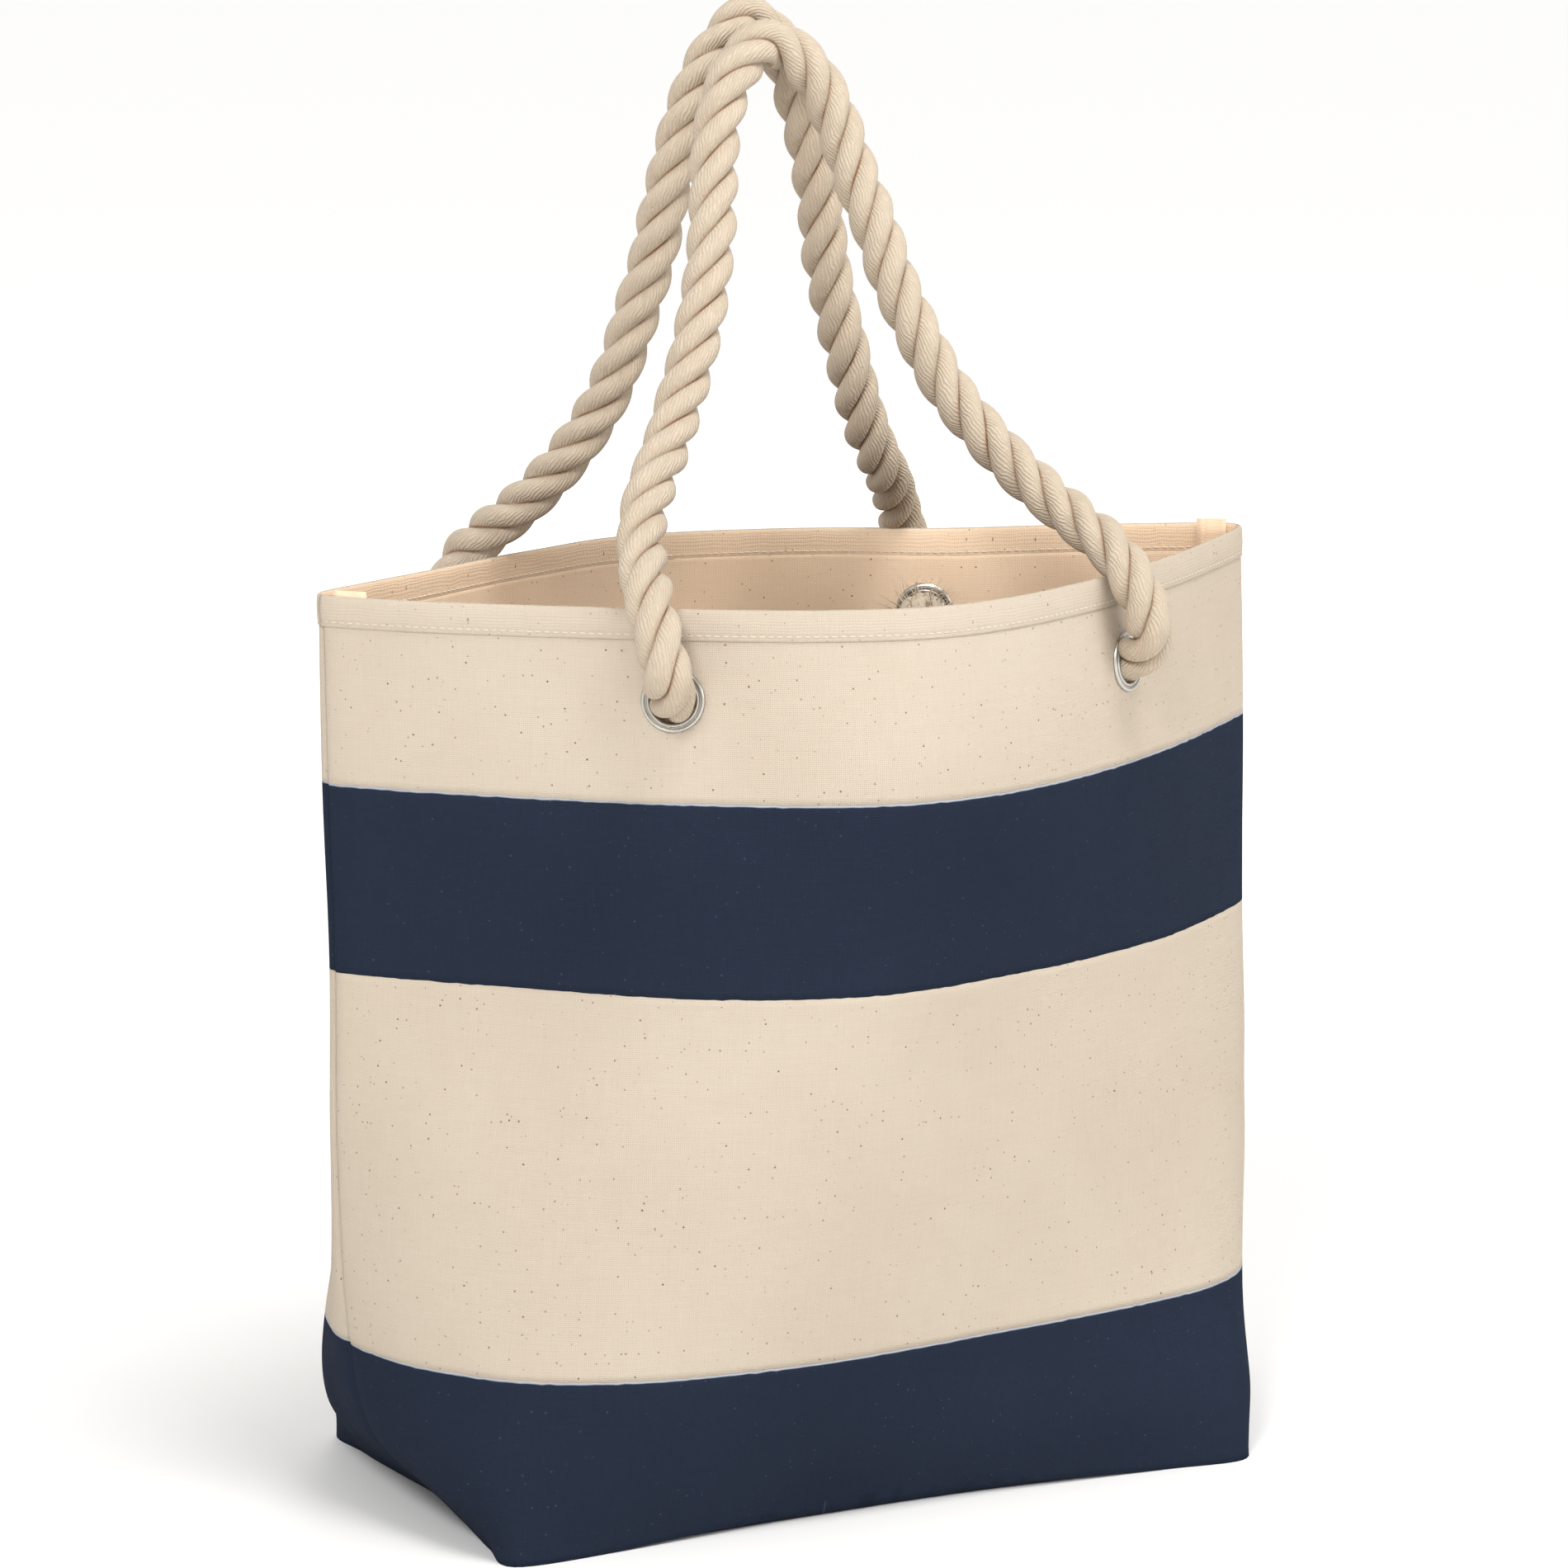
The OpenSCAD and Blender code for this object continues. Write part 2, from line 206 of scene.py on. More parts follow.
def laid_rope(line, thick, start_angle=0.0):
    """A closed rope along the line. thick gives its radius at each ring."""
    points, length = evenly(line, RING_STEP)
    steps = len(points) - 1
    rope = bmesh.new()
    place = rope.verts.layers.int.new("place")
    yarns = rope.loops.layers.uv.new("yarns")
    bmesh.ops.create_circle(rope, segments=RING_SIDES, radius=1)
    for vert in rope.verts:
        angle = math.atan2(vert.co.y, vert.co.x)
        vert[place] = round(angle / (2 * math.pi) * RING_SIDES) % RING_SIDES
        vert.co = vert.co.normalized() * strand_radius(angle)
    bmesh.ops.rotate(rope, verts=rope.verts, matrix=Matrix.Rotation(start_angle, 3, "Z"))
    bmesh.ops.spin(rope, geom=rope.verts[:] + rope.edges[:], cent=(0, 0, 0), axis=(0, 0, 1),
                   dvec=(0, 0, length / steps), angle=2 * math.pi * length / LAY, steps=steps)
    bmesh.ops.holes_fill(rope, edges=[e for e in rope.edges if e.is_boundary], sides=0)
    for face in rope.faces:
        places = [loop.vert[place] for loop in face.loops]
        wraps = max(places) - min(places) > RING_SIDES / 2
        for loop, k in zip(face.loops, places):
            k += RING_SIDES if wraps and k < RING_SIDES / 2 else 0
            loop[yarns].uv = (k / RING_SIDES * STRANDS, loop.vert.co.z / LAY)
    heading = (points[1] - points[0]).normalized()
    side = heading.orthogonal().normalized()
    frames = []
    for i, point in enumerate(points):
        new_heading = (points[min(i + 1, steps)] - points[max(i - 1, 0)]).normalized()
        side = (heading.rotation_difference(new_heading) @ side).normalized()
        heading = new_heading
        frames.append((point, side, heading.cross(side)))
    for vert in rope.verts:
        i = round(vert.co.z / length * steps)
        point, across, up = frames[i]
        size = thick(i / steps, length)
        size *= 1 + 0.03 * noise.noise(point * 90)
        vert.co = point + (across * vert.co.x + up * vert.co.y) * size
    smooth_shaded(rope)
    bmesh.ops.recalc_face_normals(rope, faces=rope.faces)
    return rope, points


def rope_fibre():
    """Undyed cotton rope: soft, dull yarns that run nearly along the rope, with
    painted shade between the yarns and in the grooves between the strands."""
    material, tree, shader, output = new_material("undyed_cotton_rope")
    yarns = add(tree, "UVMap", uv_map="yarns")
    split = add(tree, "SeparateXYZ", {0: yarns.outputs[0]})
    across = maths(tree, "FRACT", maths(tree, "ADD", split.outputs[0], 0.5))
    from_crown = maths(tree, "MULTIPLY", maths(tree, "ABSOLUTE", maths(tree, "SUBTRACT", across, 0.5)), 2)
    groove = add(tree, "MapRange", {0: from_crown, 1: 0.86, 2: 0.98, 3: 0.0, 4: 1.0},
                 interpolation_type="SMOOTHSTEP").outputs[0]
    where = add(tree, "TexCoord")
    # Fourteen yarns round a strand, which the lay turns nearly in line with the rope
    run = maths(tree, "ADD", maths(tree, "MULTIPLY", split.outputs[0], 14),
                maths(tree, "MULTIPLY", split.outputs[1], 42))
    waver = add(tree, "TexNoise", {"Vector": where.outputs["Object"], "Scale": 160, "Detail": 3})
    phase = maths(tree, "MULTIPLY",
                  maths(tree, "ADD", run, maths(tree, "MULTIPLY", waver.outputs[0], 2.6)), 2 * math.pi)
    ridge = maths(tree, "MULTIPLY_ADD", maths(tree, "SINE", phase), 0.5)
    tree.nodes[-1].inputs[2].default_value = 0.5
    fuzz = add(tree, "TexNoise", {"Vector": where.outputs["Object"], "Scale": 1400, "Detail": 4})
    stains = add(tree, "TexNoise", {"Vector": where.outputs["Object"], "Scale": 45, "Detail": 3})
    body = add(tree, "MixRGB", {0: stains.outputs[0], 1: colour("#BCAD9A"), 2: colour("#C9BDAC")})
    # Painted shade: the colour darkens in the dips between the yarns
    yarn = add(tree, "MixRGB", {0: maths(tree, "MULTIPLY", maths(tree, "SUBTRACT", 1, ridge), 0.5),
                                1: body.outputs[0], 2: colour("#B89F80")})
    # Painted shade: the grooves between the strands are darkened brown, more in some patches than others
    patch = add(tree, "TexNoise", {"Vector": where.outputs["Object"], "Scale": 70, "Detail": 3})
    groove_shade_patches = add(tree, "MapRange", {0: patch.outputs[0], 1: 0.35, 2: 0.65, 3: 0.35, 4: 1.0}).outputs[0]
    dark = add(tree, "MixRGB", {0: maths(tree, "MULTIPLY", groove, groove_shade_patches), 1: yarn.outputs[0],
                                2: colour("#8E6440")})
    fleck = add(tree, "TexVoronoi", {"Vector": where.outputs["Object"], "Scale": 240})
    spot = add(tree, "MapRange", {0: fleck.outputs["Distance"], 1: 0.04, 2: 0.09, 3: 0.8, 4: 0.0})
    pick = add(tree, "SeparateColor", {0: fleck.outputs["Color"]})
    few = maths(tree, "LESS_THAN", pick.outputs[0], 0.3)
    seeds = add(tree, "MixRGB", {0: maths(tree, "MULTIPLY", spot.outputs[0], few), 1: dark.outputs[0],
                                 2: colour("#94704C")})
    tree.links.new(seeds.outputs[0], shader.inputs["Base Color"])
    height = maths(tree, "ADD", maths(tree, "MULTIPLY", ridge, 0.6),
                   maths(tree, "MULTIPLY", fuzz.outputs[0], 0.6))
    bump = add(tree, "Bump", {"Height": height, "Strength": 1.0, "Distance": 0.5 * MM})
    tree.links.new(bump.outputs[0], shader.inputs["Normal"])
    shader.inputs["Roughness"].default_value = 0.95
    shader.inputs["Specular IOR Level"].default_value = 0.25
    shader.inputs["Sheen Weight"].default_value = 0.08
    shader.inputs["Sheen Roughness"].default_value = 0.6
    return material


cotton_rope = rope_fibre()


def middle_of(node):
    low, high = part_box(node)
    return (low + high) / 2


def outward_at(node, bend):
    """The eyelet's axis, taken from its middle to the rope's bend outside."""
    eyelet, washer = middle_of(node), middle_of(node.replace("eyelet", "washer"))
    axis = (eyelet - washer).normalized()
    return axis if axis.dot(bend - eyelet) > 0 else -axis


def handle(side, route, length, first_turn):
    bends = [Vector(p) * MM for p in route]
    left, right = side + "_left_eyelet", side + "_right_eyelet"
    ends = []
    for node, bend in ((left, bends[0]), (right, bends[-1])):
        eye, axis = middle_of(node), outward_at(node, bends[0] if node == left else bends[-1])
        ends.append([eye - axis * 9 * MM, eye + axis * 2 * MM])
    guide = ends[0] + bends[1:-1] + ends[1][::-1]
    near_end = 16 * MM

    def thick(share, length):
        from_end = min(share, 1 - share) * length
        squeeze = min(max((from_end - 6 * MM) / near_end, 0), 1)
        return ROPE_D / 2 * (0.90 + 0.12 * squeeze * squeeze * (3 - 2 * squeeze))

    rope, points = laid_rope(eased(guide), thick, first_turn)
    piece = new_piece(side + "_handle_rope_laid", rope, [cotton_rope], None,
                      [side + "_handle_rope"])
    eye, bend = (ends[0][1] + ends[1][1]) / 2, (bends[0] + bends[-1]) / 2
    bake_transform(piece)
    return piece


handle("front", front_route, 0.68, 0.4)
handle("back", back_route, 0.66, 1.9)

# ------------------------------------------------------------ rope ends inside
# Each rope's end is knotted behind its washer so that it can't pull out, and
# the three strands are left to fray below the knot.

FRAY_HAIRS = 90


def stopper_knot(node, side_turn):
    low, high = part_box(node)
    corner = node.replace("_knot", "")
    eye = middle_of(corner + "_eyelet")
    bend_y = -1 if "front" in node else 1
    axis = outward_at(corner + "_eyelet", eye + Vector((0, bend_y, 0)) * MM * 9)
    down = Vector((0, 0, -1))
    middle = eye - axis * 28 * MM + down * 15 * MM
    into = (down * 10 * MM - axis * 26 * MM).normalized()
    across = into.cross(Vector((0, 0, 1))).normalized()
    up = across.cross(into)
    guide = [eye - axis * 7 * MM, eye - axis * 13 * MM,
             middle - into * 8 * MM, middle + into * 4 * MM, middle + into * 12 * MM]
    coil_r, turns, coil_points = 11.5 * MM, 1.35, 13
    for k in range(coil_points):
        a = side_turn + 2 * math.pi * turns * k / (coil_points - 1)
        along = (9 - 17 * k / (coil_points - 1)) * MM
        guide.append(middle + into * along + (across * math.cos(a) + up * math.sin(a)) * coil_r)
    guide += [middle - into * 3 * MM, middle + into * 8 * MM + down * 3 * MM,
              middle + into * 15 * MM + down * 12 * MM, middle + into * 17 * MM + down * 26 * MM]
    rope, points = laid_rope(eased(guide, 8), lambda share, length: 8.2 * MM, side_turn)
    tip = points[-1]
    drop = (points[-1] - points[-5]).normalized()
    chance = random.Random(node)
    for _ in range(FRAY_HAIRS):
        spread = Vector((chance.uniform(-1, 1), chance.uniform(-1, 1), chance.uniform(-0.4, 0.4)))
        root = tip - drop * 3 * MM + spread * 5 * MM
        reach = chance.uniform(12, 24) * MM
        hair = [root, root + (drop + spread * 0.3) * reach * 0.5, root + (drop + spread * 0.7) * reach]
        fibre(rope, hair, chance.uniform(0.35, 0.7) * MM)
    if node == "back_right_knot":
        # This end's first tuck is untwisted: a soft lump with loose fibres in front of its washer
        tuft = eye - axis * 15 * MM
        lump = bmesh.ops.create_icosphere(rope, subdivisions=4, radius=10.5 * MM,
                                          matrix=Matrix.Translation(tuft))["verts"]
        for vert in lump:
            way = vert.co - tuft
            vert.co = tuft + way * (1 + 0.13 * noise.noise(vert.co * 160) + 0.07 * noise.noise(vert.co * 420))
        for _ in range(170):
            way = Vector((chance.gauss(0.3, 1), chance.gauss(0, 1), chance.gauss(0.2, 0.8))).normalized()
            root = tuft + way * 9 * MM
            reach = chance.uniform(3, 8) * MM
            stray = Vector((chance.uniform(-1, 1), chance.uniform(-1, 1), chance.uniform(-1, 1)))
            hair = [root, root + (way + stray * 0.6) * reach * 0.6, root + (way + stray * 1.4) * reach]
            fibre(rope, hair, chance.uniform(0.25, 0.45) * MM)
        smooth_shaded(rope)
    return new_piece(node + "_tied", rope, [cotton_rope], "bag", [node])


def fibre(shape, line, thick):
    """One thin yarn of four sides that tapers along the line."""
    ring = bmesh.ops.create_circle(shape, segments=4, radius=thick, matrix=turned_to(line[0], line[1]))
    verts = ring["verts"]
    edges = list({e for v in verts for e in v.link_edges})
    for a, b in zip(line, line[1:]):
        made = bmesh.ops.extrude_edge_only(shape, edges=edges)["geom"]
        verts = [g for g in made if isinstance(g, bmesh.types.BMVert)]
        edges = [g for g in made if isinstance(g, bmesh.types.BMEdge)
                 and all(v in verts for v in g.verts)]
        bmesh.ops.translate(shape, verts=verts, vec=b - a)
        bmesh.ops.scale(shape, verts=verts, vec=(0.6, 0.6, 0.6), space=Matrix.Translation(-b))
    bmesh.ops.pointmerge(shape, verts=verts, merge_co=line[-1])


def turned_to(a, b):
    """Matrix that puts a shape drawn about Z at a, facing b."""
    return Matrix.Translation(a) @ (b - a).to_track_quat("Z", "Y").to_matrix().to_4x4()


for knot_number, node in enumerate(["front_left_knot", "front_right_knot",
                                    "back_left_knot", "back_right_knot"]):
    stopper_knot(node, 0.7 + 1.7 * knot_number)

# -------------------------------------------------------------------- eyelets
# Nickel-plated steel, pressed from sheet: a flange with a rounded roll and a
# bright inner lip outside, and a flat ring inside that the barrel is rolled over.

# Radius and height above the canvas of the flange's section, millimetres
FLANGE_SECTION = [(9.35, -3.2), (9.35, 0.6), (9.5, 1.2), (9.85, 1.55), (10.3, 1.55),
                  (10.65, 1.2), (10.85, 0.6), (11.1, 0.55), (11.35, 1.1), (11.8, 1.55),
                  (12.4, 1.45), (12.85, 0.9), (13.0, 0.2), (12.6, -0.1), (10.3, -0.15),
                  (10.15, -3.0), (9.9, -3.25)]
WASHER_SECTION = [(10.3, -1.3), (10.5, -2.3), (11.2, -2.9), (12.0, -2.8), (12.8, -2.2),
                  (13.0, -1.6), (12.8, -1.25)]


def nickel_plate():
    """Polished nickel plate: a warm grey mirror with fine handling scratches."""
    material, tree, shader, output = new_material("nickel_plated_steel")
    where = add(tree, "TexCoord")
    scratch = add(tree, "TexNoise", {"Vector": where.outputs["Object"], "Scale": 900, "Detail": 5})
    haze = add(tree, "TexNoise", {"Vector": where.outputs["Object"], "Scale": 120, "Detail": 2})
    rough = add(tree, "MapRange", {0: haze.outputs[0], 1: 0.3, 2: 0.7, 3: 0.24, 4: 0.34})
    tint = add(tree, "MixRGB", {0: haze.outputs[0], 1: colour("#BAB6AF"), 2: colour("#D0CDC7")})
    tree.links.new(tint.outputs[0], shader.inputs["Base Color"])
    tree.links.new(rough.outputs[0], shader.inputs["Roughness"])
    bump = add(tree, "Bump", {"Height": scratch.outputs[0], "Strength": 0.03, "Distance": 0.02 * MM})
    tree.links.new(bump.outputs[0], shader.inputs["Normal"])
    shader.inputs["Metallic"].default_value = 1
    return material


plated_nickel = nickel_plate()


def pressed_ring(name, section, node, corner):
    ring = bmesh.new()
    verts = [ring.verts.new((r * MM, 0, h * MM)) for r, h in section]
    edges = [ring.edges.new((verts[i - 1], verts[i])) for i in range(len(verts))]
    bmesh.ops.subdivide_edges(ring, edges=edges, cuts=1, smooth=0.3)
    bmesh.ops.spin(ring, geom=ring.verts[:] + ring.edges[:], cent=(0, 0, 0), axis=(0, 0, 1),
                   angle=2 * math.pi, steps=72, use_merge=True)
    eye = middle_of(corner + "_eyelet")
    outside = Vector((0, -1 if "front" in corner else 1, 0))
    axis = outward_at(corner + "_eyelet", eye + outside)
    skin = eye + axis * 0.65 * MM
    ring.transform(Matrix.Translation(skin) @ axis.to_track_quat("Z", "Y").to_matrix().to_4x4())
    smooth_shaded(ring)
    bmesh.ops.recalc_face_normals(ring, faces=ring.faces)
    return new_piece(name, ring, [plated_nickel], "bag", [node])


for corner in ("front_left", "front_right", "back_left", "back_right"):
    pressed_ring(corner + "_eyelet_pressed", FLANGE_SECTION, corner + "_eyelet", corner)
    pressed_ring(corner + "_washer_pressed", WASHER_SECTION, corner + "_washer", corner)

# --------------------------------------------------------------- canvas bands
# Heavy plain-weave cotton canvas, 1.4 mm thick, in a natural and a navy that
# meet on the weave. The two panels stand open: a lens at the mouth, nearly a
# rectangle on the floor.

RIM_Z = 380 * MM
HEM_Z = 367.5 * MM
BAND_EDGES = {"base": 71 * MM, "middle": 226 * MM, "stripe": 304 * MM, "top": HEM_Z}
CANVAS_T = 1.4 * MM
PANEL_W = 515 * MM
COLUMNS = 172

# Plan outlines at several heights, millimetres: from the left seam along the
# front to the right seam, and from the right seam along the back.
OUTLINES = {
    0: ([(-168, -3), (-171, -40), (-175, -80), (-175, -106), (-130, -106), (-84, -103),
         (-42, -102), (-4, -101), (36, -101), (76, -102), (118, -103), (154, -104),
         (162, -78), (163, -40), (163, -3)],
        [(163, 36), (162, 72), (152, 95), (118, 96), (76, 96), (38, 96), (-6, 96),
         (-48, 96), (-88, 96), (-130, 97), (-173, 97), (-173, 64), (-170, 28)]),
    30: ([(-192, -3), (-191, -30), (-187, -66), (-172, -97), (-128, -109), (-84, -110),
          (-42, -110), (-4, -109), (36, -107), (78, -105), (122, -103), (158, -98),
          (175, -76), (182, -38), (183, -3)],
         [(182, 34), (176, 66), (160, 88), (122, 97), (80, 99), (38, 100), (-6, 101),
          (-48, 101), (-88, 101), (-128, 100), (-166, 95), (-187, 62), (-191, 28)]),
    71: ([(-204, -2), (-202, -20), (-190, -54), (-161, -90), (-120, -110), (-78, -116),
          (-40, -116), (-4, -112), (36, -106), (78, -100), (124, -91), (156, -80),
          (180, -62), (195, -34), (198, -2)],
         [(195, 28), (184, 54), (160, 75), (122, 92), (80, 102), (38, 106), (-6, 107),
          (-48, 106), (-88, 103), (-126, 97), (-162, 84), (-191, 54), (-203, 18)]),
    150: ([(-208, 3), (-203, -10), (-184, -42), (-156, -72), (-118, -99), (-82, -114),
           (-46, -121), (-8, -119), (34, -110), (78, -99), (128, -80), (162, -60),
           (188, -36), (201, -14), (205, 1)],
          [(201, 16), (188, 40), (160, 66), (120, 91), (80, 108), (38, 117), (-6, 121),
           (-48, 117), (-88, 106), (-124, 88), (-156, 66), (-184, 38), (-204, 16)]),
    226: ([(-209, 5), (-203, -7), (-176, -32), (-148, -55), (-115, -85), (-84, -106),
           (-50, -121), (-12, -124), (32, -112), (77, -96), (130, -69), (165, -44),
           (190, -23), (204, -8), (209, 6)],
          [(204, 20), (185, 40), (152, 66), (112, 90), (72, 110), (34, 122), (-6, 127),
           (-46, 121), (-84, 106), (-118, 86), (-150, 62), (-180, 36), (-204, 17)]),
    303: ([(-212, 6), (-205, -7), (-176, -35), (-148, -60), (-114, -88), (-82, -110),
           (-50, -127), (-14, -135), (24, -129), (62, -113), (100, -91), (136, -63),
           (166, -38), (206, -2), (214, 11)],
          [(208, 24), (182, 44), (148, 66), (112, 89), (76, 109), (38, 124), (-3, 131),
           (-42, 126), (-80, 109), (-114, 86), (-148, 62), (-178, 38), (-206, 19)]),
    380: ([(-213, 6), (-207, -5), (-178, -32), (-146, -56), (-111, -79), (-78, -100),
           (-42, -117), (-3, -125), (38, -114), (76, -94), (112, -73), (148, -47),
           (181, -20), (207, 2), (214, 13)],
          [(208, 24), (181, 43), (147, 64), (112, 83), (76, 101), (38, 116), (-3, 124),
           (-42, 119), (-78, 99), (-111, 78), (-146, 57), (-178, 36), (-207, 17)]),
}


# How far the left and right ends stand off the outlines at each height, millimetres
ENDS = {0: (0, 10.5), 30: (-3.5, 6), 71: (-1, 4.5), 150: (0.5, 12), 226: (2.5, 10.5),
        303: (4, 8.5), 380: (4, 7.5)}


def panel_outlines():
    """For each height, each panel's outline as points an even distance apart."""
    levels = {}
    for z, (front, back) in OUTLINES.items():
        left, right = ENDS[z]
        loop = eased([Vector((x + left + (right - left) * (x + 210) / 420, y, 0)) * MM
                      for x, y in front + back], 16, closed=True)
        seam = (len(front) - 1) * 16
        levels[z * MM] = {"front": evenly(loop[:seam + 1], count=COLUMNS)[0],
                          "back": evenly(loop[seam:] + loop[:1], count=COLUMNS)[0]}
    return levels


PANELS = panel_outlines()
LEVELS = sorted(PANELS)
EYES = {c: (middle_of(c + "_eyelet"),
            outward_at(c + "_eyelet", middle_of(c + "_eyelet")
                       + Vector((0, -1 if "front" in c else 1, 0))))
        for c in ("front_left", "front_right", "back_left", "back_right")}


def plan_point(side, column, z):
    """A point of the panel's outer face, before its small waves."""
    z = min(max(z, 0), RIM_Z)
    i = max(k for k in range(len(LEVELS) - 1) if LEVELS[k] <= z)
    picks = [PANELS[LEVELS[min(max(i + k, 0), len(LEVELS) - 1)]][side][column]
             for k in (-1, 0, 1, 2)]
    zs = [LEVELS[min(max(i + k, 0), len(LEVELS) - 1)] for k in (-1, 0, 1, 2)]
    span = zs[2] - zs[1]
    t = (z - zs[1]) / span
    slope_a = (picks[2] - picks[0]) / max(zs[2] - zs[0], 1e-6)
    slope_b = (picks[3] - picks[1]) / max(zs[3] - zs[1], 1e-6)
    point = (picks[1] * (2 * t ** 3 - 3 * t ** 2 + 1) + slope_a * span * (t ** 3 - 2 * t ** 2 + t)
             + picks[2] * (3 * t ** 2 - 2 * t ** 3) + slope_b * span * (t ** 3 - t ** 2))
    return Vector((point.x, point.y, z))


def out_of(side, column, z):
    """Level direction away from the bag's inside."""
    a = plan_point(side, max(column - 1, 0), z)
    b = plan_point(side, min(column + 1, COLUMNS), z)
    along = (b - a).normalized()
    return Vector((along.y, -along.x, 0))


def skin_point(side, column, z, off=0.0):
    """A point on the canvas as it stands, with its waves, creases and lean."""
    point = plan_point(side, column, z)
    away = out_of(side, column, z)
    share = column / COLUMNS
    seam_gap = min(share, 1 - share) * PANEL_W
    wave = noise.noise(Vector((point.x * 9, point.y * 9 + 3, z * 7))) * 1.6
    wave += noise.noise(Vector((point.x * 26, point.y * 26, z * 19))) * 0.5
    wave *= min(seam_gap / (25 * MM), 1)
    # The seams pull the cloth in along a narrow line
    wave -= 1.3 * math.exp(-(seam_gap / (2.2 * MM)) ** 2) * (z < HEM_Z)
    point += away * (wave * MM + off)
    # The floor edge lifts a little between the corners, and the rim rises to the right
    middle_lift = math.sin(math.pi * min(max((point.x + 0.15) / 0.29, 0), 1)) ** 2
    point.z += (8 if side == "front" else 4) * MM * middle_lift * max(1 - z / (40 * MM), 0) ** 2
    # The stripe hangs a little lower than straight across, most of all to the right
    droop = max(1 - abs(z - 0.226) / 0.13, 0)
    point.z -= (2.6 + 9 * max(point.x, 0)) * MM * droop * droop * (3 - 2 * droop) \
        * min((point.x + 0.22) / 0.12, 1)
    rim = max((z - 0.30) / 0.08, 0)
    point.z += (4 * max(point.x / 0.21, 0) ** 2 + 1 * max(-point.x / 0.21, 0) ** 2) * MM * rim
    point.z += max(z - RIM_Z, 0)
    # The cloth lies flat under each eyelet's flange
    for corner, (eye, axis) in EYES.items():
        if corner.startswith(side):
            gap = point - eye
            if gap.length < 0.12:
                height = gap.dot(axis) - off - 0.65 * MM
                near = (gap - axis * gap.dot(axis)).length
                flat = 1 / (1 + (max(near - 14 * MM, 0) / (30 * MM)) ** 3)
                point -= axis * height * flat
    return point


def wavy_edge(side, column, z):
    """The colours meet along a slightly uneven thread."""
    return z + 0.35 * MM * noise.noise(Vector((column * 0.9, z * 100, 5 if side == "front" else 9)))


def woven_panel(side, low, high, uneven_low, uneven_high):
    """A panel's stretch of cloth between two heights, with its weave's UV map."""
    rows = max(4, round((high - low) / (3 * MM)))
    cloth = bmesh.new()
    bmesh.ops.create_grid(cloth, x_segments=COLUMNS, y_segments=rows, size=0.5, calc_uvs=False)
    weave = cloth.loops.layers.uv.new("weave")
    for face in cloth.faces:
        for loop in face.loops:
            u, v = loop.vert.co.x + 0.5, loop.vert.co.y + 0.5
            loop[weave].uv = (u * PANEL_W, low + v * (high - low))
    for vert in cloth.verts:
        column, v = round((vert.co.x + 0.5) * COLUMNS), vert.co.y + 0.5
        a = wavy_edge(side, column, low) if uneven_low else low
        b = wavy_edge(side, column, high) if uneven_high else high
        vert.co = skin_point(side, column, a + (b - a) * v)
    return cloth


def punch_holes(cloth, side):
    """Opens the cloth inside each eyelet and rounds the cut."""
    for corner, (eye, axis) in EYES.items():
        if not corner.startswith(side):
            continue
        inside = [f for f in cloth.faces if (f.calc_center_median() - eye).length < 8.6 * MM]
        edge = {v for f in inside for v in f.verts}
        bmesh.ops.delete(cloth, geom=inside, context="FACES")
        for vert in [v for v in edge if v.is_valid and v.is_boundary]:
            gap = vert.co - eye
            rise = gap.dot(axis)
            flat = gap - axis * rise
            vert.co = eye + axis * rise + flat.normalized() * 10.5 * MM


